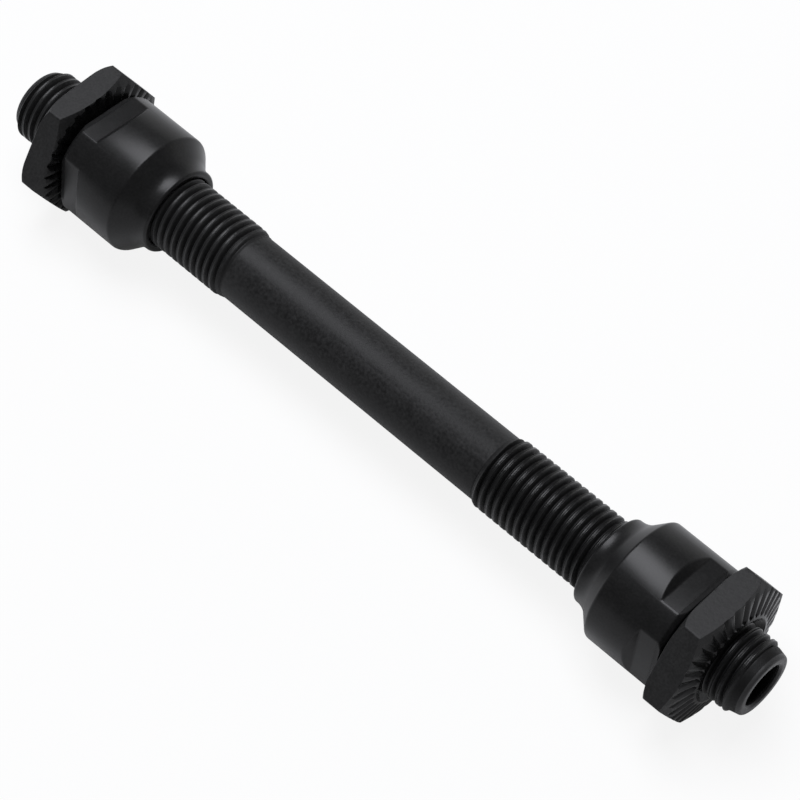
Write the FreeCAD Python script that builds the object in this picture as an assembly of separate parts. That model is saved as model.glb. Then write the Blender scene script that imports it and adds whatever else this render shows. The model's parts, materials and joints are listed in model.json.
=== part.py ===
import FreeCAD, Part
import math
import os

# Front hub axle set for a quick-release wheel, in millimetres: a hollow axle with a rolled thread at
# each end, two bearing cones and two thin locknuts. The axle lies along X with its middle at the
# origin and Z up, and the set rests on the lower flats of the locknuts.

# Axle
axle_length = 108.0
thread_diameter = 8.9  # over the crests of an M9 x 1 rolled thread
rolled_rise = 0.35  # how far rolling lifts the crests above the plain shank
left_thread_length = 33.5
right_thread_length = 37.2
thread_run_out = 0.6
bore_diameter = 5.3
end_chamfer_length = 1.1
end_chamfer_depth = 0.57
bore_edge_break = 0.25

# Where the threaded pieces sit, measured inwards from each end of the axle
left_protrusion = 6.55
right_protrusion = 4.4
left_locknut_gap = 0.1  # between a locknut and the cone it has yet to be tightened against
right_locknut_gap = 0.6
thread_clearance = 0.05  # radial, inside the cones and the locknuts

# Bearing cone
spanner_size = 13.0
flat_depth = 1.1
flat_length = 2.8
flat_wall_angle = 36.0  # between the wall at the inner end of a flat and a plane square to the axle
flat_count = 4
cone_body_length = 8.7
cone_end_chamfer = 0.5
cone_turn = -5.0  # degrees about X that the spanner flats stand off the locknut flats
race_radius = 2.5  # for balls of 4.76 mm
race_angle = 45.0
nose_land = 0.1
lip_chamfer = 0.3
nose_face_width = 0.35
mouth_chamfer = 0.25

# Locknuts, which differ a little in size
left_nut_across_flats = 16.5
left_nut_thickness = 3.75
left_face_inset = 0.35  # from the middle of a flat to the rim of the serrated face
left_chamfer_angle = 40.0  # of the corners on the serrated side
right_nut_across_flats = 17.0
right_nut_thickness = 4.1
right_face_inset = 1.1
right_chamfer_angle = 29.5
plain_face_outset = 0.4  # from the middle of a flat out to the rim of the plain face
plain_chamfer_angle = 30.0
nut_chamfer_overrun = 0.2
nut_countersink = 0.9
serration_count = 32
serration_angle = 3.2  # that the bottom of a groove falls away outwards
serration_share = 0.8  # of each pitch that a groove takes
serration_tip = 0.5  # length over which a groove narrows to a point on the rim of the countersink

# Sizes that follow
axle_end = axle_length / 2
thread_radius = thread_diameter / 2
shank_radius = thread_radius - rolled_rise
bore_radius = bore_diameter / 2
hole_radius = thread_radius + thread_clearance

nose_radius = hole_radius + mouth_chamfer + nose_face_width + lip_chamfer
cone_radius = spanner_size / 2 + flat_depth
race_rise = cone_radius - nose_radius
race_run = race_rise / math.tan(math.radians(race_angle))
half_turn = math.tan(math.radians(race_angle / 2))
race_reach = min(race_radius * half_turn, 0.9 * math.hypot(race_rise, race_run))
nose_length = race_run + race_reach + nose_land + lip_chamfer
nut_mouth_radius = hole_radius + nut_countersink

ORIGIN = FreeCAD.Vector(0, 0, 0)
ALONG = FreeCAD.Vector(1, 0, 0)
UP = FreeCAD.Vector(0, 0, 1)


def rounded_corner(before, corner, after, radius):
    """Start, middle and end of the arc that rounds a corner of an outline."""
    to_before = (before - corner).normalize()
    to_after = (after - corner).normalize()
    half_angle = to_before.getAngle(to_after) / 2
    reach = radius / math.tan(half_angle)
    to_centre = (to_before + to_after).normalize()
    middle = corner + to_centre * (radius / math.sin(half_angle) - radius)
    return corner + to_before * reach, middle, corner + to_after * reach


def turned(outline):
    """Solid of revolution about X through (x, radius) corners. A third value rounds a corner."""
    corners = [FreeCAD.Vector(point[0], 0, point[1]) for point in outline]
    arcs = []
    for index, point in enumerate(outline):
        rounding = point[2] if len(point) > 2 else 0
        after = corners[(index + 1) % len(corners)]
        arcs.append(rounded_corner(corners[index - 1], corners[index], after, rounding))
    edges = []
    for index, (start, middle, end) in enumerate(arcs):
        edges.append(Part.makeLine(arcs[index - 1][2], start))
        if start != end:
            edges.append(Part.Arc(start, middle, end).toShape())
    return Part.Face(Part.Wire(edges)).revolve(ORIGIN, ALONG, 360)


def round_about(tool, count):
    """Copies of a tool, evenly spaced about X."""
    copies = []
    for index in range(count):
        turned_tool = tool.copy()
        turned_tool.rotate(ORIGIN, ALONG, 360 * index / count)
        copies.append(turned_tool)
    return copies


def polyhedron(corners, faces):
    """Solid with flat faces, each a tuple of corner numbers."""
    shells = []
    for face in faces:
        loop = [corners[number] for number in face]
        shells.append(Part.Face(Part.makePolygon(loop + loop[:1])))
    return Part.makeSolid(Part.makeShell(shells))


def make_axle():
    """Hollow axle: chamfered thread, run-out, plain shank, and the same again at the other end."""
    end_radius = thread_radius - end_chamfer_depth
    left_run_out = left_thread_length - axle_end
    right_run_out = axle_end - right_thread_length
    return turned([
        (-axle_end, end_radius),
        (end_chamfer_length - axle_end, thread_radius),
        (left_run_out, thread_radius),
        (left_run_out + thread_run_out, shank_radius),
        (right_run_out - thread_run_out, shank_radius),
        (right_run_out, thread_radius),
        (axle_end - end_chamfer_length, thread_radius),
        (axle_end, end_radius),
        (axle_end, bore_radius + bore_edge_break),
        (axle_end - bore_edge_break, bore_radius),
        (bore_edge_break - axle_end, bore_radius),
        (-axle_end, bore_radius + bore_edge_break),
    ])


def make_cone():
    """Bearing cone with its nose towards -X and the shoulder of its ball race at the origin."""
    mouth_radius = hole_radius + mouth_chamfer
    blank = turned([
        (-nose_length, mouth_radius),
        (-nose_length, nose_radius - lip_chamfer),
        (lip_chamfer - nose_length, nose_radius),
        (-race_run, nose_radius, race_reach / half_turn),
        (0, cone_radius),
        (cone_body_length - cone_end_chamfer, cone_radius),
        (cone_body_length, cone_radius - cone_end_chamfer),
        (cone_body_length, mouth_radius),
        (cone_body_length - mouth_chamfer, hole_radius),
        (mouth_chamfer - nose_length, hole_radius),
    ])
    wall_foot = cone_body_length - flat_length
    wall_top = wall_foot - 2 * flat_depth * math.tan(math.radians(flat_wall_angle))
    past_end = cone_body_length + flat_length
    flat_height = spanner_size / 2
    clear_height = flat_height + 2 * flat_depth
    corners = [
        FreeCAD.Vector(wall_foot, -cone_radius, flat_height),
        FreeCAD.Vector(past_end, -cone_radius, flat_height),
        FreeCAD.Vector(past_end, -cone_radius, clear_height),
        FreeCAD.Vector(wall_top, -cone_radius, clear_height),
    ]
    section = Part.Face(Part.makePolygon(corners + corners[:1]))
    cutter = section.extrude(FreeCAD.Vector(0, 2 * cone_radius, 0))
    return blank.cut(round_about(cutter, flat_count))


def make_serration(corner_radius, thickness):
    """Radial groove in the +X face of a nut, with its tip on the rim of the countersink."""
    corners = [FreeCAD.Vector(thickness, 0, nut_mouth_radius)]
    for radius in (nut_mouth_radius + serration_tip, corner_radius):
        half_width = radius * math.tan(serration_share * math.pi / serration_count)
        depth = radius * math.tan(math.radians(serration_angle))
        corners.append(FreeCAD.Vector(thickness, -half_width, radius))
        corners.append(FreeCAD.Vector(thickness, half_width, radius))
        corners.append(FreeCAD.Vector(thickness - depth, 0, radius))
    top_and_end = [(0, 1, 4, 5, 2), (4, 6, 5)]
    flanks = [(0, 3, 1), (1, 3, 6, 4), (0, 2, 3), (3, 2, 5, 6)]
    return polyhedron(corners, top_and_end + flanks)


def make_locknut(across_flats, thickness, face_inset, chamfer_angle):
    """Hexagon locknut from x = 0 to its thickness, chamfered on both faces and serrated on the +X one."""
    flat_radius = across_flats / 2
    corner_radius = flat_radius / math.cos(math.pi / 6)
    corners = []
    for index in range(6):
        angle = math.radians(30 + 60 * index)
        across = corner_radius * math.sin(angle)
        height = corner_radius * math.cos(angle)
        corners.append(FreeCAD.Vector(0, across, height))
    hexagon = Part.Face(Part.makePolygon(corners + corners[:1])).extrude(ALONG * thickness)
    plain_radius = flat_radius + plain_face_outset
    serrated_radius = flat_radius - face_inset
    rim_radius = corner_radius + nut_chamfer_overrun
    plain_drop = (rim_radius - plain_radius) * math.tan(math.radians(plain_chamfer_angle))
    serrated_drop = (rim_radius - serrated_radius) * math.tan(math.radians(chamfer_angle))
    blank = turned([
        (0, nut_mouth_radius),
        (0, plain_radius),
        (plain_drop, rim_radius),
        (thickness - serrated_drop, rim_radius),
        (thickness, serrated_radius),
        (thickness, nut_mouth_radius),
        (thickness - nut_countersink, hole_radius),
        (nut_countersink, hole_radius),
    ])
    serration = make_serration(corner_radius, thickness)
    return hexagon.common(blank).cut(round_about(serration, serration_count))


def place_cone(end_face):
    """A cone whose outer end stands at this place along X, its nose towards the middle of the axle."""
    cone = make_cone()
    cone.translate(ALONG * (abs(end_face) - cone_body_length))
    if end_face < 0:
        cone.rotate(ORIGIN, UP, 180)
    cone.rotate(ORIGIN, ALONG, cone_turn)
    return cone


left_nut_outer = left_protrusion - axle_end
left_nut_inner = left_nut_outer + left_nut_thickness
right_nut_inner = axle_end - right_protrusion - right_nut_thickness

left_locknut = make_locknut(left_nut_across_flats, left_nut_thickness, left_face_inset, left_chamfer_angle)
left_locknut.translate(ALONG * left_nut_outer)
right_locknut = make_locknut(
    right_nut_across_flats, right_nut_thickness, right_face_inset, right_chamfer_angle
)
right_locknut.translate(ALONG * right_nut_inner)

parts = {
    "hollow_axle": make_axle(),
    "left_cone": place_cone(left_nut_inner + left_locknut_gap),
    "right_cone": place_cone(right_nut_inner - right_locknut_gap),
    "left_locknut": left_locknut,
    "right_locknut": right_locknut,
}

os.makedirs("parts", exist_ok=True)
for name, shape in parts.items():
    shape.exportStep(f"parts/{name}.step")
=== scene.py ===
# %% [markdown]
# # A hollow hub axle in black steel
# This lesson dresses a bicycle front axle set: a hollow axle with a rolled thread at both ends, two
# bearing cones and two thin locknuts. The solids come from a CAD file, which sets the sizes. Here the
# pieces get the thread, the broken edges and the finish that make them look like the real ones.

# %% Load the frame
import json
import math

import bmesh
import bpy
from mathutils import Matrix, Vector


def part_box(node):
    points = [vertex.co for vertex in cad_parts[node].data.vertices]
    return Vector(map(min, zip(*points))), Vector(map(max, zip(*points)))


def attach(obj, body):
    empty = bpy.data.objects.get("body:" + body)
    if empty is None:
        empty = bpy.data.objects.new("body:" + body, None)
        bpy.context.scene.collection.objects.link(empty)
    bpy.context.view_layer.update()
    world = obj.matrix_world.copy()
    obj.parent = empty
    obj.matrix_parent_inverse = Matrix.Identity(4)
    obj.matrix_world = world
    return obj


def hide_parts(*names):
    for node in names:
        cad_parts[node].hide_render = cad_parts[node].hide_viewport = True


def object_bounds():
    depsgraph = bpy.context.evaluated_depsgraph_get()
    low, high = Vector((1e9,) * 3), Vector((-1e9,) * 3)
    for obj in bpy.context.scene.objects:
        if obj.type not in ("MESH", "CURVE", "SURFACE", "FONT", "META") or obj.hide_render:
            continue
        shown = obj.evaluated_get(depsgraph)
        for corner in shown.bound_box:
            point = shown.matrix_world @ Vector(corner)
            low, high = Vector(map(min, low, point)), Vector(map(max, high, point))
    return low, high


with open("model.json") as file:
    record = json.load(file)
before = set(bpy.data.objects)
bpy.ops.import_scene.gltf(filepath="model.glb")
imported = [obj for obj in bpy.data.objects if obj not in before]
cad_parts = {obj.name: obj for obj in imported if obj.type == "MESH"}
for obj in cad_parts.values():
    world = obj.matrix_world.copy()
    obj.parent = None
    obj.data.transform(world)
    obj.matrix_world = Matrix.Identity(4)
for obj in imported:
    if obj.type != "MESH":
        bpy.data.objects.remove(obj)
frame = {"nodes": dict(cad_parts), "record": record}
cad_low, cad_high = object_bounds()
print("CAD nodes:", sorted(frame["nodes"]))

# %% [markdown]
# ## Working in millimetres
# The parts are small, and several of the mesh tools treat lengths under a tenth of a millimetre as
# nothing when one unit is a metre. So every piece is modelled at one unit to the millimetre, as on a
# workshop drawing, and is scaled to metres when it is finished. The main sizes are read off the frame.

# %% Sizes from the frame
MM = 0.001  # metres


def node_box(node):
    """Lowest and highest corner of a CAD node, in millimetres."""
    low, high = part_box(node)
    return low / MM, high / MM


axle_end = node_box("hollow_axle")[1].x
crest_radius = node_box("hollow_axle")[1].z
print(f"axle {2 * axle_end:.1f} mm long, {2 * crest_radius:.2f} mm over the thread")

# %% [markdown]
# ## A few tools of the trade
# An operator works on whatever is selected, so the helpers first let go of everything else. Round work
# starts as a chain of edges beside the axis, drawn by extruding a single vertex again and again. A
# modifier or a spin then takes it round the axis, as a lathe does with a profile.

# %% Helpers for drawn work
WELD = 0.0005  # vertices closer than this are merged


def only(piece):
    """Leaves edit mode and selects this object alone."""
    if bpy.context.mode != "OBJECT":
        bpy.ops.object.mode_set(mode="OBJECT")
    bpy.ops.object.select_all(action="DESELECT")
    piece.select_set(True)
    bpy.context.view_layer.objects.active = piece


def draw_outline(name, points):
    """Draws a chain of edges through (x, radius) points above the axis and stays in edit mode."""
    bpy.ops.object.select_all(action="DESELECT")
    bpy.ops.mesh.primitive_plane_add(size=1)
    outline = bpy.context.object
    outline.name = name
    bpy.ops.object.mode_set(mode="EDIT")
    bpy.ops.mesh.merge(type="CENTER")
    bpy.ops.transform.translate(value=(points[0][0], 0, points[0][1]))
    for (x, radius), (next_x, next_radius) in zip(points, points[1:]):
        step = (next_x - x, 0, next_radius - radius)
        bpy.ops.mesh.extrude_region_move(TRANSFORM_OT_translate={"value": step})
    return outline


def weld():
    """Merges doubles and turns all faces outwards, in edit mode."""
    bpy.ops.mesh.select_all(action="SELECT")
    bpy.ops.mesh.remove_doubles(threshold=WELD)
    bpy.ops.mesh.normals_make_consistent(inside=False)


def apply_modifier(piece, kind, **settings):
    """Adds a modifier with these settings and applies it."""
    only(piece)
    modifier = piece.modifiers.new(kind.title(), kind)
    for name, value in settings.items():
        setattr(modifier, name, value)
    bpy.ops.object.modifier_apply(modifier=modifier.name)


# %% [markdown]
# ## The rolled thread
# The axle's ends are rolled between dies: the steel is pressed out of the grooves and up into the
# crests, so the thread stands a little proud of the plain shank. A thread is one small profile that
# climbs by one pitch for each turn, and the Screw modifier does exactly that to a drawn profile. The
# pitch is 1 mm, the roots are rounded by the dies, and each crest keeps a shallow seam along its middle
# where the steel that rose on both sides met.

# %% Thread profile
PITCH = 1.0
ROOT_RADIUS = 3.86
ROOT_WIDTH = 0.12
ROOT_RISE = 0.015
FOOT_WIDTH = 0.06  # of the rounding between root and flank
FOOT_RISE = 0.08
CREST_WIDTH = 0.36
CREST_ROUND = 0.06
CREST_EASE = 0.03  # how far the rounding reaches to each side of the crest's edge
SEAM_WIDTH = 0.06
SEAM_DEPTH = 0.026
SEAM_EDGE_DEPTH = 0.6 * SEAM_DEPTH
SCREW_STEPS = 72
SPARE_TURNS = 2


def thread_profile(start_x):
    """One pitch of thread, from the middle of a groove to the middle of the next."""
    crest_start = PITCH / 2 - CREST_WIDTH / 2
    half = [
        (0.0, ROOT_RADIUS),
        (ROOT_WIDTH / 2, ROOT_RADIUS + ROOT_RISE),
        (ROOT_WIDTH / 2 + FOOT_WIDTH, ROOT_RADIUS + FOOT_RISE),
        (crest_start - CREST_EASE, crest_radius - CREST_ROUND),
        (crest_start + CREST_EASE, crest_radius),
        (PITCH / 2 - SEAM_WIDTH / 2, crest_radius - SEAM_EDGE_DEPTH),
        (PITCH / 2, crest_radius - SEAM_DEPTH),
    ]
    other_half = [(PITCH - x, radius) for x, radius in reversed(half[:-1])]
    return [(start_x + x, radius) for x, radius in half + other_half]


def screw_thread(name, low_x, high_x, crest_x):
    """A threaded sleeve that reaches past both places, with a crest at crest_x on the upper side."""
    turns_before = math.ceil((crest_x - low_x) / PITCH) + SPARE_TURNS
    start_x = crest_x - (turns_before + 0.5) * PITCH
    turns = math.ceil((high_x - start_x) / PITCH) + SPARE_TURNS
    sleeve = draw_outline(name, thread_profile(start_x))
    apply_modifier(sleeve, "SCREW", axis="X", angle=math.tau, screw_offset=PITCH, iterations=turns,
                   steps=SCREW_STEPS, render_steps=SCREW_STEPS, use_merge_vertices=False)
    bpy.ops.object.mode_set(mode="EDIT")
    weld()
    only(sleeve)
    print(name, "has", turns, "turns and", len(sleeve.data.vertices), "vertices")
    return sleeve


print("thread profile has", len(thread_profile(0)), "points")

# %% [markdown]
# ## Where the thread ends
# At the ends of the axle a smooth turned lead helps a nut to start, longer on the right than on the
# left. At the inner end the dies lift off, so the thread fades into the shank within about one turn,
# more sharply on the right. Both are limits on the radius, so each vertex of the sleeve is brought to its
# place along the axle and then to the radius allowed there. Vertices past an end fall together on one
# ring, which is then welded.

# %% Trim the two sleeves
SHANK_RADIUS = 4.10
LEFT_THREAD_END = -20.5
RIGHT_THREAD_END = 16.8
LEFT_RUN_OUT = 1.3
RIGHT_RUN_OUT = 0.7
LEFT_CREST = -28.36  # where one crest crosses the top of the axle
RIGHT_CREST = 19.11
END_ROUND = 0.4
LEAD_RADIUS = 3.87
LEAD_RISE = 0.24  # in radius, for each millimetre from the end
LEFT_LEAD = 0.2
RIGHT_LEAD = 1.0
LEAD_STEEPNESS = 0.9  # of the slopes between the lead and the full thread
SNAP = 0.01  # vertices closer than this to an end are moved onto it


def trim_thread(sleeve, inner_x, run_out, outer_x, lead_length):
    """Fades the thread into the shank at inner_x and into a smooth lead at outer_x."""
    low_x, high_x = sorted((inner_x, outer_x))
    for vertex in sleeve.data.vertices:
        x = min(max(vertex.co.x, low_x), high_x)
        for end_x in (low_x, high_x):
            if abs(x - end_x) < SNAP:
                x = end_x
        radius = math.hypot(vertex.co.y, vertex.co.z)
        fading = min(abs(x - inner_x) / run_out, 1.0)
        trimmed = SHANK_RADIUS + (radius - SHANK_RADIUS) * fading
        lead = LEAD_RADIUS + LEAD_RISE * abs(outer_x - x)
        room = max(abs(outer_x - x) - lead_length, 0) * LEAD_STEEPNESS
        trimmed = min(max(trimmed, lead - room), lead + room)
        vertex.co = (x, vertex.co.y * trimmed / radius, vertex.co.z * trimmed / radius)
    only(sleeve)
    bpy.ops.object.mode_set(mode="EDIT")
    weld()
    bpy.ops.mesh.dissolve_degenerate(threshold=WELD)
    only(sleeve)
    print(sleeve.name, "keeps", len(sleeve.data.vertices), "vertices")


lead_end = axle_end - END_ROUND
left_sleeve = screw_thread("left_sleeve", -lead_end, LEFT_THREAD_END, LEFT_CREST)
right_sleeve = screw_thread("right_sleeve", RIGHT_THREAD_END, lead_end, RIGHT_CREST)
trim_thread(left_sleeve, LEFT_THREAD_END, LEFT_RUN_OUT, -lead_end, LEFT_LEAD)
trim_thread(right_sleeve, RIGHT_THREAD_END, RIGHT_RUN_OUT, lead_end, RIGHT_LEAD)

# %% [markdown]
# ## The plain shank
# Between the threads the axle keeps the bare diameter of the bar that it was rolled from. The two
# sleeves are joined into one mesh, and the shank is a single bridge between their inner rings, which are
# picked by a test on the place of each vertex.

# %% Join the sleeves
NEAR = 0.001  # slack in tests on a place


def select_where(piece, wanted):
    """In edit mode, selects the vertices whose place passes the test, with the edges between them."""
    bpy.ops.mesh.select_mode(type="VERT")
    bpy.ops.mesh.select_all(action="DESELECT")
    mesh = bmesh.from_edit_mesh(piece.data)
    for vertex in mesh.verts:
        vertex.select = wanted(vertex.co)
    mesh.select_flush_mode()
    bmesh.update_edit_mesh(piece.data)


def ring_at(x, radius):
    """A test for vertices on a ring round the axis."""
    def on_ring(place):
        off_radius = abs(math.hypot(place.y, place.z) - radius)
        return abs(place.x - x) < NEAR and off_radius < 2 * NEAR
    return on_ring


def bridge_rings(piece, first, second):
    """In edit mode, joins two rings with faces."""
    select_where(piece, lambda place: first(place) or second(place))
    bpy.ops.mesh.bridge_edge_loops()


only(right_sleeve)
left_sleeve.select_set(True)
bpy.ops.object.join()
axle = bpy.context.object
bpy.ops.object.mode_set(mode="EDIT")
bridge_rings(axle, ring_at(LEFT_THREAD_END, SHANK_RADIUS), ring_at(RIGHT_THREAD_END, SHANK_RADIUS))
print("shank is", round(RIGHT_THREAD_END - LEFT_THREAD_END, 1), "mm long")

# %% [markdown]
# ## End faces and bore
# A skewer passes right through the axle, so its ends are rings with a broken edge outside and inside.
# Each outer ring of the thread is extruded in small steps round the edge, over the end face and into
# the mouth of the bore. The bore itself is another bridge, from mouth to mouth, and a small bevel
# breaks its edges.

# %% Close the axle
MOUTH_BREAK = 0.25
MOUTH_EDGE_ROUND = 0.1
ROUND_STEPS = 5
BEVEL_STEPS = 3


def arc(centre_x, centre_radius, size, start, stop, count=8):
    """Points along an arc in the outline's plane, with angles in degrees from +X towards the rim."""
    points = []
    for index in range(count + 1):
        angle = math.radians(start + (stop - start) * index / count)
        points.append((centre_x + size * math.cos(angle), centre_radius + size * math.sin(angle)))
    return points


def extrude_ring(place, radius, next_place, next_radius):
    """Extrudes the selected ring along the axis and changes its radius."""
    bpy.ops.mesh.extrude_region_move(TRANSFORM_OT_translate={"value": (next_place - place, 0, 0)})
    scale = next_radius / radius
    bpy.ops.transform.resize(value=(1, scale, scale), center_override=(next_place, 0, 0))


mounts = {mount["name"]: mount for mount in frame["record"]["mounts"]}
bore_radius = mounts["skewer_bore"]["dims"]["r_mm"]
mouth_radius = bore_radius + MOUTH_BREAK
bore_end = axle_end - MOUTH_BREAK
rings = arc(lead_end, LEAD_RADIUS - END_ROUND, END_ROUND, 90, 0, ROUND_STEPS)
rings += [(axle_end, mouth_radius), (bore_end, bore_radius)]
for side in (-1, 1):
    select_where(axle, ring_at(side * lead_end, LEAD_RADIUS))
    for (place, radius), (next_place, next_radius) in zip(rings, rings[1:]):
        extrude_ring(side * place, radius, side * next_place, next_radius)
bridge_rings(axle, ring_at(-bore_end, bore_radius), ring_at(bore_end, bore_radius))
for end in (-axle_end, axle_end):
    select_where(axle, ring_at(end, mouth_radius))
    bpy.ops.mesh.bevel(offset=MOUTH_EDGE_ROUND, segments=BEVEL_STEPS, affect="EDGES")
weld()
only(axle)
print("axle has", len(axle.data.polygons), "faces")

# %% [markdown]
# ## The bearing cone
# A cone is turned from bar and hardened. Its nose carries a hollow race that the balls roll in, and the
# rest is a plain cylinder with a threaded hole. The outline is drawn with its arcs as short edges and
# spun, with the shoulder of the race at x = 0 and the nose towards -X.

# %% Turn the cone
TURN_STEPS = 128
HOLE_RADIUS = 4.5
MOUTH_CHAMFER = 0.25
CONE_BODY = 8.7
END_BREAK = 0.5
NOSE_RADIUS = 5.4
NOSE_LAND = 0.05
LIP_ROUND = 0.35
RACE_RADIUS = 2.5
RACE_LEAN = 45  # degrees
SHOULDER_ROUND = 0.5
SHOULDER_STEPS = 4


def turn(name, points):
    """Spins a closed outline round the X axis into a solid."""
    piece = draw_outline(name, points + points[:1])
    bpy.ops.mesh.select_all(action="SELECT")
    bpy.ops.mesh.spin(steps=TURN_STEPS, angle=math.tau, center=(0, 0, 0), axis=(1, 0, 0))
    weld()
    only(piece)
    return piece


cone_radius = node_box("right_cone")[1].y
half_turn = math.tan(math.radians(RACE_LEAN / 2))
race_run = (cone_radius - NOSE_RADIUS) / math.tan(math.radians(RACE_LEAN))
race_start = -race_run - RACE_RADIUS * half_turn
nose_end = race_start - NOSE_LAND - LIP_ROUND
shoulder_end = SHOULDER_ROUND * half_turn
shoulder_centre = cone_radius - SHOULDER_ROUND

cone_outline = [(nose_end, HOLE_RADIUS + MOUTH_CHAMFER)]
cone_outline += arc(nose_end + LIP_ROUND, NOSE_RADIUS - LIP_ROUND, LIP_ROUND, 180, 90)
cone_outline += arc(race_start, NOSE_RADIUS + RACE_RADIUS, RACE_RADIUS, 270, 270 + RACE_LEAN)
cone_outline += arc(shoulder_end, shoulder_centre, SHOULDER_ROUND, 90 + RACE_LEAN, 90, SHOULDER_STEPS)
cone_outline += [
    (CONE_BODY - END_BREAK, cone_radius),
    (CONE_BODY, cone_radius - END_BREAK),
    (CONE_BODY, HOLE_RADIUS + MOUTH_CHAMFER),
    (CONE_BODY - MOUTH_CHAMFER, HOLE_RADIUS),
    (nose_end + MOUTH_CHAMFER, HOLE_RADIUS),
]
cone = turn("cone", cone_outline)
print("cone blank has", len(cone.data.polygons), "faces, length", round(CONE_BODY - nose_end, 2), "mm")

# %% [markdown]
# ## Copying and cutting
# What repeats round the axis, such as a flat or a groove, is modelled once, and its copies are turned
# into place. A cut is a Boolean modifier that is applied at once, after which the cutter is thrown away.

# %% Helpers for cutting


def copy_of(piece):
    """A second piece with its own mesh."""
    only(piece)
    bpy.ops.object.duplicate()
    return bpy.context.object


def copies_round(piece, count):
    """The piece and its copies, evenly turned about the axis."""
    copies = [piece]
    for index in range(1, count):
        copy = copy_of(piece)
        copy.rotation_euler.x = math.tau * index / count
        bpy.ops.object.transform_apply(location=False, rotation=True, scale=False)
        copies.append(copy)
    return copies


def cut(piece, cutter, operation="DIFFERENCE"):
    """Cuts a piece with another, which is then thrown away."""
    apply_modifier(piece, "BOOLEAN", operation=operation, solver="EXACT", object=cutter)
    only(cutter)
    bpy.ops.object.delete()
    only(piece)


# %% [markdown]
# ## Spanner flats
# Four flats are milled into the outer end of a cone for a thin spanner, and the side of the milling
# cutter leaves a sloping wall where each flat ends. One block with a sloping front is drawn, copied round
# and taken away. A bevel then breaks every sharp edge as tumbling does.

# %% Mill the flats
FLAT_COUNT = 4
FLAT_RADIUS = 6.5
FLAT_LENGTH = 2.8
WALL_LEAN = math.radians(36)
CUTTER_HEIGHT = 3.0
CUTTER_OVERRUN = 1.0
EDGE_BREAK = 0.14
BREAK_ANGLE = math.radians(20)  # sharper edges are broken

wall_foot = CONE_BODY - FLAT_LENGTH
past_end = CONE_BODY + CUTTER_OVERRUN
cutter_top = FLAT_RADIUS + CUTTER_HEIGHT
cutter = draw_outline("flat_cutter", [
    (wall_foot, FLAT_RADIUS),
    (past_end, FLAT_RADIUS),
    (past_end, cutter_top),
    (wall_foot - CUTTER_HEIGHT * math.tan(WALL_LEAN), cutter_top),
])
bpy.ops.mesh.select_all(action="SELECT")
bpy.ops.mesh.edge_face_add()
bpy.ops.transform.translate(value=(0, -cone_radius, 0))
bpy.ops.mesh.extrude_region_move(TRANSFORM_OT_translate={"value": (0, 2 * cone_radius, 0)})
weld()
for flat_cutter in copies_round(cutter, FLAT_COUNT):
    cut(cone, flat_cutter)
apply_modifier(cone, "BEVEL", width=EDGE_BREAK, segments=BEVEL_STEPS, limit_method="ANGLE",
               angle_limit=BREAK_ANGLE, use_clamp_overlap=False)
print("cone has", len(cone.data.polygons), "faces after milling")

# %% [markdown]
# ## The blank of a locknut
# A nut is a slice of hexagon bar. Turning gives it the eased corners, the faces, the countersinks and
# the hole, so the bar and a turned blank are intersected. Its plain side is rounded at the corners. The
# other side falls away a little from the countersink outwards and is chamfered at the corners.

# %% Hexagon bar and turned blank
CORNER_ROUND = 0.15
CORNER_ANGLE = math.radians(50)  # sharper edges of the bar are rounded
PLAIN_INSET = 0.08  # from the middle of a flat in to the start of the rounding
PLAIN_ROUND = 1.55
PLAIN_SWEEP = 80  # degrees
FACE_INSET = 0.1  # from the middle of a flat in to the rim of the serrated face
NUT_MOUTH_RADIUS = 5.4


def corner_reach(flat_radius):
    """Distance from the axis to a corner of a hexagon with flats at this distance."""
    return flat_radius / math.cos(math.pi / 6)


def hexagon_bar(name, flat_radius, thickness):
    """A slice of hexagon bar from x = 0 to its thickness, with flats above and below."""
    bpy.ops.object.select_all(action="DESELECT")
    bpy.ops.mesh.primitive_cylinder_add(vertices=6, radius=corner_reach(flat_radius), depth=thickness)
    bar = bpy.context.object
    bar.name = name
    bar.rotation_euler.y = math.pi / 2
    bar.location.x = thickness / 2
    bpy.ops.object.transform_apply(location=True, rotation=True, scale=False)
    apply_modifier(bar, "BEVEL", width=CORNER_ROUND, segments=BEVEL_STEPS, limit_method="ANGLE",
                   angle_limit=CORNER_ANGLE)
    return bar


def turned_blank(flat_radius, thickness, fall, lean):
    """The turned shape of a nut, with the angles of its serrated face and of the chamfer outside it."""
    face_radius = flat_radius - FACE_INSET
    face_x = thickness - (face_radius - NUT_MOUTH_RADIUS) * math.tan(fall)
    countersink = NUT_MOUTH_RADIUS - HOLE_RADIUS
    plain_edge = arc(PLAIN_ROUND, flat_radius - PLAIN_INSET, PLAIN_ROUND, 180, 180 - PLAIN_SWEEP)
    rim = plain_edge[-1][1]
    return turn("blank", [(0, NUT_MOUTH_RADIUS)] + plain_edge + [
        (face_x - (rim - face_radius) * math.tan(lean), rim),
        (face_x, face_radius),
        (thickness, NUT_MOUTH_RADIUS),
        (thickness - countersink, HOLE_RADIUS),
        (countersink, HOLE_RADIUS),
    ])


print(f"countersinks {NUT_MOUTH_RADIUS - HOLE_RADIUS:.1f} mm deep")

# %% [markdown]
# ## Serrations
# Radial teeth are pressed into one face of a nut so that it bites into what it is tightened against.
# Between them lie shallow V-shaped grooves. The cutter for one groove starts as a three-sided cylinder:
# its two ends become the inner and the outer section of the groove, and the inner end is drawn out to
# a point near the countersink.

# %% Cutter for one groove
SERRATION_COUNT = 32
SERRATION_SHARE = 0.9  # of each pitch that a groove takes
SERRATION_START = 0.12
SERRATION_TIP = 0.6
SERRATION_RISE = 0.02  # of the cutter above the face, for a clean cut
SERRATION_OVERRUN = 0.1
INNER_DEPTH = 0.30
OUTER_DEPTH = 0.03


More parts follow.
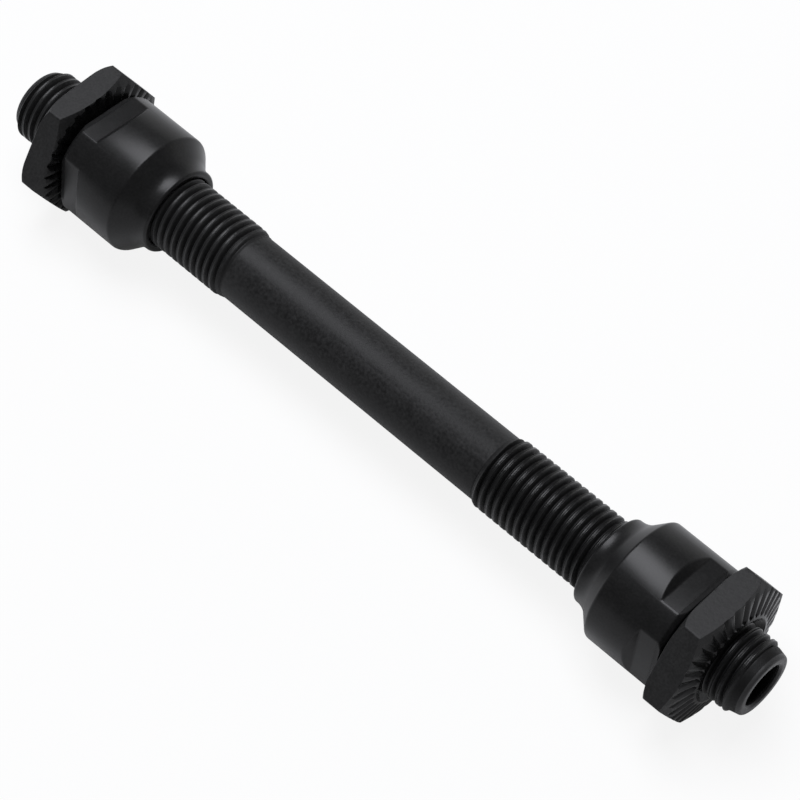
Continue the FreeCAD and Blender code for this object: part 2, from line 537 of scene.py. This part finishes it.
def make_groove(flat_radius, thickness, fall):
    """A wedge that lies along +Z in the nut's +X face and narrows to a tip at the countersink."""
    spread = math.tan(SERRATION_SHARE * math.pi / SERRATION_COUNT)
    inner = NUT_MOUTH_RADIUS + SERRATION_TIP
    outer = corner_reach(flat_radius) + SERRATION_OVERRUN
    bpy.ops.object.select_all(action="DESELECT")
    bpy.ops.mesh.primitive_cylinder_add(vertices=3, radius=1, depth=1)
    groove = bpy.context.object
    ends = sorted(groove.data.vertices, key=lambda vertex: vertex.co.z)
    for radius, depth, ring in ((inner, INNER_DEPTH, ends[:3]), (outer, OUTER_DEPTH, ends[3:])):
        bottom, right, left = sorted(ring, key=lambda vertex: math.atan2(vertex.co.x, vertex.co.y))
        face_x = thickness - (radius - NUT_MOUTH_RADIUS) * math.tan(fall)
        bottom.co = (face_x - depth, 0, radius)
        right.co = (face_x + SERRATION_RISE, radius * spread, radius)
        left.co = (face_x + SERRATION_RISE, -radius * spread, radius)
    bpy.ops.object.mode_set(mode="EDIT")
    select_where(groove, lambda place: place.z < inner + NEAR)
    bpy.ops.mesh.extrude_region_move()
    bpy.ops.mesh.merge(type="CENTER")
    tip = next(vertex for vertex in bmesh.from_edit_mesh(groove.data).verts if vertex.select)
    tip.co = (thickness + SERRATION_RISE, 0, NUT_MOUTH_RADIUS + SERRATION_START)
    weld()
    only(groove)
    return groove


print(SERRATION_COUNT, "grooves,", 360 / SERRATION_COUNT, "degrees apart")

# %% [markdown]
# ## The two locknuts
# The two nuts of the set are not quite the same size, so one function makes both from the boxes of
# their CAD nodes. The groove is copied round, and all its copies are joined and cut away together.

# %% Make the nuts
RIGHT_FALL = math.radians(12.5)
RIGHT_LEAN = math.radians(25)
LEFT_FALL = math.radians(11)
LEFT_LEAN = math.radians(33)


def make_nut(name, node, fall, lean):
    """A locknut as large as its CAD node, with its plain face at x = 0."""
    low, high = node_box(node)
    flat_radius = high.z
    thickness = high.x - low.x
    nut = hexagon_bar(name, flat_radius, thickness)
    cut(nut, turned_blank(flat_radius, thickness, fall, lean), "INTERSECT")
    grooves = copies_round(make_groove(flat_radius, thickness, fall), SERRATION_COUNT)
    only(grooves[0])
    for groove in grooves:
        groove.select_set(True)
    bpy.ops.object.join()
    cut(nut, grooves[0])
    print(name, "has", len(nut.data.polygons), "faces and is", round(thickness, 2), "mm thick")
    return nut


right_nut = make_nut("right_thin_locknut", "right_locknut", RIGHT_FALL, RIGHT_LEAN)
left_nut = make_nut("left_thin_locknut", "left_locknut", LEFT_FALL, LEFT_LEAN)

# %% [markdown]
# ## Small tools for finishes
# A finish is a small network of nodes. Each of these helpers adds a node or two and hands back an
# output, so that the finishes below read as short sums. Patterns use the piece's own coordinates, which
# are in metres, and so they ride along with it.

# %% Node helpers


def maths(tree, operation, *values):
    """A Math node on sockets and numbers, as its output."""
    node = tree.nodes.new("ShaderNodeMath")
    node.operation = operation
    for socket, value in zip(node.inputs, values):
        if isinstance(value, (int, float)):
            socket.default_value = value
        else:
            tree.links.new(value, socket)
    return node.outputs["Value"]


def fade(tree, value, start, stop):
    """0 where a socket's value is at start and 1 where it is at stop, with a straight run between."""
    node = tree.nodes.new("ShaderNodeMapRange")
    node.inputs["From Min"].default_value = start
    node.inputs["From Max"].default_value = stop
    tree.links.new(value, node.inputs["Value"])
    return node.outputs["Result"]


def noise(tree, scale, detail):
    """Noise of a scale per metre on the piece's own coordinates."""
    place = tree.nodes.new("ShaderNodeTexCoord")
    node = tree.nodes.new("ShaderNodeTexNoise")
    node.inputs["Scale"].default_value = scale
    node.inputs["Detail"].default_value = detail
    tree.links.new(place.outputs["Object"], node.inputs["Vector"])
    return node.outputs["Fac"]


# %% [markdown]
# ## Black steel
# Every piece is blackened in a hot bath, which leaves a thin dark oxide. Steel under such a coat hardly
# shows as metal: it is a nearly black body with a soft sheen on top, so a plain shader with a low
# specular level stands for it. A fine grain and a slow mottling keep the colour, the gloss and the height
# from being perfectly even.

# %% Black steel
GRAIN_SHARE = 0.75
GRAIN_DETAIL = 4
MOTTLE_SIZE = 6  # times the size of the grain
MOTTLE_DETAIL = 2
DARK_AT, LIGHT_AT = 0.38, 0.64
GLOSSY_AT, DULL_AT = 0.3, 0.7
BUMP_STRENGTH = 0.6


def grey(tone):
    """A grey with full opacity."""
    return (tone, tone, tone, 1)


def black_steel(name, dark, light, gloss, roughness, uneven_gloss, grain_scale, grain_height):
    """A blackened steel with grain and slow mottling in its colour, gloss and height."""
    material = bpy.data.materials.new(name)
    material.use_nodes = True
    tree = material.node_tree
    shader = tree.nodes["Principled BSDF"]
    shader.inputs["Specular IOR Level"].default_value = gloss
    grain = noise(tree, grain_scale, GRAIN_DETAIL)
    mottle = noise(tree, grain_scale / MOTTLE_SIZE, MOTTLE_DETAIL)
    slow = maths(tree, "MULTIPLY", mottle, 1 - GRAIN_SHARE)
    uneven = maths(tree, "MULTIPLY_ADD", grain, GRAIN_SHARE, slow)
    tone = tree.nodes.new("ShaderNodeValToRGB")
    for stop, place, level in zip(tone.color_ramp.elements, (DARK_AT, LIGHT_AT), (dark, light)):
        stop.position = place
        stop.color = grey(level)
    tree.links.new(uneven, tone.inputs["Fac"])
    tree.links.new(tone.outputs["Color"], shader.inputs["Base Color"])
    spread = fade(tree, uneven, GLOSSY_AT, DULL_AT)
    rough = maths(tree, "MULTIPLY_ADD", spread, uneven_gloss, roughness - uneven_gloss / 2)
    tree.links.new(rough, shader.inputs["Roughness"])
    bump = tree.nodes.new("ShaderNodeBump")
    bump.inputs["Strength"].default_value = BUMP_STRENGTH
    bump.inputs["Distance"].default_value = grain_height
    tree.links.new(uneven, bump.inputs["Height"])
    tree.links.new(bump.outputs["Normal"], shader.inputs["Normal"])
    return material


# %% [markdown]
# ## Where a finish changes
# The axle isn't equally black all over. Each place on it has a distance along the axle and one from its
# axis, and a mask is made from these two. Where the mask is 1, another tone is mixed over the coat, which
# also becomes smoother or duller there.

# %% Masks, wear and painted light
MIX_FACTOR, MIX_FIRST, MIX_SECOND, MIX_RESULT = 0, 6, 7, 2  # a Mix node's sockets for colours


def along_and_out(tree):
    """Place along the axle and distance from its axis."""
    place = tree.nodes.new("ShaderNodeTexCoord")
    split = tree.nodes.new("ShaderNodeSeparateXYZ")
    tree.links.new(place.outputs["Object"], split.inputs["Vector"])
    across, height = split.outputs["Y"], split.outputs["Z"]
    across_squared = maths(tree, "MULTIPLY", across, across)
    height_squared = maths(tree, "MULTIPLY", height, height)
    return split.outputs["X"], maths(tree, "SQRT", maths(tree, "ADD", across_squared, height_squared))


def wear_and_painted_light(material, mask, tone, rougher):
    """Changes a finish's colour and roughness where a mask is 1."""
    tree = material.node_tree
    shader = tree.nodes["Principled BSDF"]
    blend = tree.nodes.new("ShaderNodeMix")
    blend.data_type = "RGBA"
    tree.links.new(mask, blend.inputs[MIX_FACTOR])
    tree.links.new(shader.inputs["Base Color"].links[0].from_socket, blend.inputs[MIX_FIRST])
    blend.inputs[MIX_SECOND].default_value = grey(tone)
    tree.links.new(blend.outputs[MIX_RESULT], shader.inputs["Base Color"])
    rough = shader.inputs["Roughness"].links[0].from_socket
    tree.links.new(maths(tree, "MULTIPLY_ADD", mask, rougher, rough), shader.inputs["Roughness"])


# %% [markdown]
# ## The axle's finish
# The dies burnish the crests and handling rubs them, so they are smoother than the shank. The grooves
# get a darker tone that is painted shade between the crests, and the turned end faces a lighter one that
# is a painted reflection of the floor. The left thread is the duller of the two.

# %% Axle finish
END_ZONE = 0.5  # how far the end faces with their edges reach along the axle
END_REFLECTION_TONE, END_POLISH = 0.030, 0.15
CREST_FROM, CREST_FULL = 4.30, 4.42
GROOVE_FROM, GROOVE_FULL = 4.35, 4.05
GROOVE_DULLNESS = 0.05

axle_finish = black_steel("axle_black", dark=0.009, light=0.021, gloss=0.18, roughness=0.52,
                          uneven_gloss=0.14, grain_scale=2800, grain_height=0.06 * MM)
tree = axle_finish.node_tree
along, out = along_and_out(tree)
left_thread = maths(tree, "LESS_THAN", along, LEFT_THREAD_END * MM)
right_thread = maths(tree, "GREATER_THAN", along, RIGHT_THREAD_END * MM)
before_end = maths(tree, "LESS_THAN", maths(tree, "ABSOLUTE", along), (axle_end - END_ZONE) * MM)
# The end faces get a lighter tone, a painted reflection of the lit floor that they face.
end_face_reflection = maths(tree, "SUBTRACT", 1.0, before_end)
wear_and_painted_light(axle_finish, end_face_reflection, END_REFLECTION_TONE, -END_POLISH)
# Each thread's grooves get a darker tone below, which is painted shade between the crests.
for side, crest_tone, crest_polish, groove_shade_tone in (
    (left_thread, 0.018, 0.20, 0.008),
    (right_thread, 0.010, 0.26, 0.004),
):
    thread = maths(tree, "MULTIPLY", side, before_end)
    crest = maths(tree, "MULTIPLY", thread, fade(tree, out, CREST_FROM * MM, CREST_FULL * MM))
    groove = maths(tree, "MULTIPLY", thread, fade(tree, out, GROOVE_FROM * MM, GROOVE_FULL * MM))
    wear_and_painted_light(axle_finish, crest, crest_tone, -crest_polish)
    wear_and_painted_light(axle_finish, groove, groove_shade_tone, GROOVE_DULLNESS)
print(axle_finish.name, "has", len(tree.nodes), "nodes")

# %% [markdown]
# ## The cones' finish
# A cone is turned fine, hardened and tumbled before it is blackened, so it has the smoothest coat of the
# set: hardly any grain, and a tighter highlight along its body and in its race.

# %% Cone finish
cone_finish = black_steel("cone_black", dark=0.008, light=0.013, gloss=0.20, roughness=0.32,
                          uneven_gloss=0.03, grain_scale=4200, grain_height=0.006 * MM)
print(cone_finish.name, "has", len(cone_finish.node_tree.nodes), "nodes")

# %% [markdown]
# ## The nuts' finishes
# The nuts are parted off drawn bar, so their flats are dull and grainy. Their serrations are pressed
# crisp;
# they lie in the shade of the cone and mirror the dark stub, so their near-black colour is painted shade.
# They get a finish of their own, which also covers the countersink between them and stops at the
# chamfered corners.

# %% Nut finishes
FACING_ALONG = 0.2  # least part of a face's normal along +X

nut_finish = black_steel("nut_black", dark=0.009, light=0.019, gloss=0.20, roughness=0.50,
                         uneven_gloss=0.12, grain_scale=3600, grain_height=0.04 * MM)
# The two near-black tones of this finish are painted shade: the serrated face lies in the cone's shade.
serrated_shade_finish = black_steel("serrated_painted_shade", dark=0.002, light=0.006, gloss=0.13, roughness=0.24,
                              uneven_gloss=0.06, grain_scale=3600, grain_height=0.01 * MM)


def shade_serrations(nut):
    """Gives a nut its finish, and its serrated face and countersink the near-black painted shade."""
    flat_radius = max(vertex.co.z for vertex in nut.data.vertices)
    thickness = max(vertex.co.x for vertex in nut.data.vertices)
    nut.data.materials.append(nut_finish)
    nut.data.materials.append(serrated_shade_finish)
    count = 0
    for face in nut.data.polygons:
        on_serrated_side = face.center.x > thickness / 2 and face.normal.x > FACING_ALONG
        if on_serrated_side and math.hypot(face.center.y, face.center.z) < flat_radius - FACE_INSET:
            face.material_index = 1
            count += 1
    print(nut.name, "has", count, "faces in the deeper black")


shade_serrations(right_nut)
shade_serrations(left_nut)

# %% [markdown]
# ## Put the pieces in place
# Every piece is moved to where its CAD node sits, turned the right way, scaled to metres and given to
# its body. The cones face each other, and both nuts show their serrations towards +X. A closed mesh has
# two faces at every edge, so the edges that haven't are counted.

# %% Dress the bodies
SMOOTH_ANGLE = math.radians(32)
CONE_TURN = math.radians(-5)

body_of = {}
for body, members in frame["record"]["behaviour"]["bodies"].items():
    body_of.update({node: body for node in members})


def open_edges(piece):
    """How many edges of a mesh don't lie between exactly two faces."""
    mesh = bmesh.new()
    mesh.from_mesh(piece.data)
    count = sum(not edge.is_manifold for edge in mesh.edges)
    mesh.free()
    return count


def place_piece(piece, name, node, matrix, finish=None):
    """Puts a piece modelled in millimetres where its CAD node is, and lets it stand for that node."""
    piece.name = name
    piece.data.name = name
    piece.data.transform(Matrix.Diagonal((MM, MM, MM, 1)) @ matrix)
    only(piece)
    bpy.ops.object.shade_smooth_by_angle(angle=SMOOTH_ANGLE)
    if finish:
        piece.data.materials.append(finish)
    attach(piece, body_of[node])
    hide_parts(node)
    print(name, "stands for", node, "with", open_edges(piece), "open edges")


def shift(x):
    """A move along the axle."""
    return Matrix.Translation((x, 0, 0))


twist = Matrix.Rotation(CONE_TURN, 4, "X")
about_face = Matrix.Rotation(math.pi, 4, "Z")
right_cone_place = twist @ shift(node_box("right_cone")[1].x - CONE_BODY)
left_cone_place = twist @ shift(node_box("left_cone")[0].x + CONE_BODY) @ about_face
right_nut_place = shift(node_box("right_locknut")[0].x)
left_nut_place = shift(node_box("left_locknut")[0].x)
second_cone = copy_of(cone)
place_piece(axle, "threaded_axle", "hollow_axle", Matrix.Identity(4), axle_finish)
place_piece(cone, "right_bearing_cone", "right_cone", right_cone_place, cone_finish)
place_piece(second_cone, "left_bearing_cone", "left_cone", left_cone_place, cone_finish)
place_piece(right_nut, "right_thin_locknut", "right_locknut", right_nut_place)
place_piece(left_nut, "left_thin_locknut", "left_locknut", left_nut_place)

# %% [markdown]
# ## A white floor
# The set is shown as in a catalogue, on plain white with only a trace of shadow. The floor is pale
# paper, and towards the camera most of its colour comes from a white glow, so the ground is white while
# the light stays low enough for the steel. Rays that leave a shiny face see a little of that glow too.

# %% Floor
FLOOR_SIZE = 4  # metres
PAPER_TONE = 0.75
PAPER_ROUGHNESS = 0.9
SEEN_GLOW = 0.88
MIRRORED_GLOW = 0.15

bpy.ops.object.select_all(action="DESELECT")
bpy.ops.mesh.primitive_plane_add(size=FLOOR_SIZE, location=(0, 0, cad_low.z))
floor = bpy.context.object
floor.name = "floor"
floor_paint = bpy.data.materials.new("floor_white")
floor_paint.use_nodes = True
tree = floor_paint.node_tree
paper = tree.nodes["Principled BSDF"]
paper.inputs["Base Color"].default_value = grey(PAPER_TONE)
paper.inputs["Roughness"].default_value = PAPER_ROUGHNESS
paper.inputs["Specular IOR Level"].default_value = 0
glow = tree.nodes.new("ShaderNodeEmission")
glow.inputs["Strength"].default_value = 1
ray = tree.nodes.new("ShaderNodeLightPath")
mirrored = maths(tree, "ADD", ray.outputs["Is Glossy Ray"], ray.outputs["Is Transmission Ray"])
seen = maths(tree, "MULTIPLY", ray.outputs["Is Camera Ray"], SEEN_GLOW)
mix = tree.nodes.new("ShaderNodeMixShader")
tree.links.new(maths(tree, "MULTIPLY_ADD", mirrored, MIRRORED_GLOW, seen), mix.inputs["Fac"])
tree.links.new(paper.outputs["BSDF"], mix.inputs[1])
tree.links.new(glow.outputs["Emission"], mix.inputs[2])
tree.links.new(mix.outputs["Shader"], tree.nodes["Material Output"].inputs["Surface"])
floor.data.materials.append(floor_paint)
print("floor at", round(cad_low.z / MM, 2), "mm")

# %% [markdown]
# ## Soft light
# One large soft box hangs over the axle, a little to the left and behind. It draws the long highlights
# along the shank and the cones. A wide card behind the set brightens the edges that face away from the
# camera, and a weak light from all round fills the rest.

# %% Light
FILL_STRENGTH = 0.08
TOP_LIGHT_FROM = (-0.215, 0.09, 0.96)
BACK_CARD_FROM = (0, 0.95, 0.2)
COOL_WHITE = (0.94, 0.95, 1.0)
POWER_PER_RADIANCE = 4  # of an area lamp, for each square metre

world = bpy.data.worlds.new("studio")
bpy.context.scene.world = world
world.use_nodes = True
sky = world.node_tree.nodes["Background"]
sky.inputs["Color"].default_value = (1, 1, 1, 1)
sky.inputs["Strength"].default_value = FILL_STRENGTH


def soft_box(name, towards, distance, wide, tall, radiance, colour=(1, 1, 1)):
    """An area lamp that looks at the middle of the axle from a direction, with its sizes in metres."""
    place = Vector(towards).normalized() * distance
    bpy.ops.object.select_all(action="DESELECT")
    bpy.ops.object.light_add(type="AREA", location=place)
    lamp = bpy.context.object
    lamp.name = name
    lamp.data.shape = "RECTANGLE"
    lamp.data.size = wide
    lamp.data.size_y = tall
    lamp.data.energy = radiance * POWER_PER_RADIANCE * wide * tall
    lamp.data.color = colour
    lamp.rotation_euler = (-place).to_track_quat("-Z", "Y").to_euler()


soft_box("top_light", TOP_LIGHT_FROM, distance=0.8, wide=0.46, tall=0.64, radiance=7.2, colour=COOL_WHITE)
soft_box("back_card", BACK_CARD_FROM, distance=1.0, wide=2.4, tall=0.5, radiance=0.5)

# %% [markdown]
# ## The camera
# A long lens looks steeply down on the axle, which runs from corner to corner of the picture. The angles,
# the distance and the slight roll were fitted to points of the photograph: the ends of the axle, the
# corners of the nuts and the rims of the cones.

# %% Camera
LENS = 151.28  # millimetres
SENSOR = 36  # millimetres
CLIP_START = 0.01  # metres
CAMERA_AZIMUTH = math.radians(40.456)
CAMERA_ELEVATION = math.radians(55.372)
CAMERA_ROLL = math.radians(4.03)
CAMERA_DISTANCE = 361.94 * MM
CAMERA_AIM = Vector((2.873, -0.14, -1.235)) * MM

back = Vector((
    math.sin(CAMERA_AZIMUTH) * math.cos(CAMERA_ELEVATION),
    -math.cos(CAMERA_AZIMUTH) * math.cos(CAMERA_ELEVATION),
    math.sin(CAMERA_ELEVATION),
))
bpy.ops.object.select_all(action="DESELECT")
bpy.ops.object.camera_add(location=CAMERA_AIM + back * CAMERA_DISTANCE)
camera = bpy.context.object
camera.data.lens = LENS
camera.data.sensor_width = SENSOR
camera.data.clip_start = CLIP_START
camera.rotation_mode = "QUATERNION"
aim = (-back).to_track_quat("-Z", "Y").to_matrix().to_4x4() @ Matrix.Rotation(CAMERA_ROLL, 4, "Z")
camera.rotation_quaternion = aim.to_quaternion()
bpy.context.scene.camera = camera
bpy.context.scene.view_settings.view_transform = "Standard"
print("camera", round(CAMERA_DISTANCE / MM), "mm from the axle")
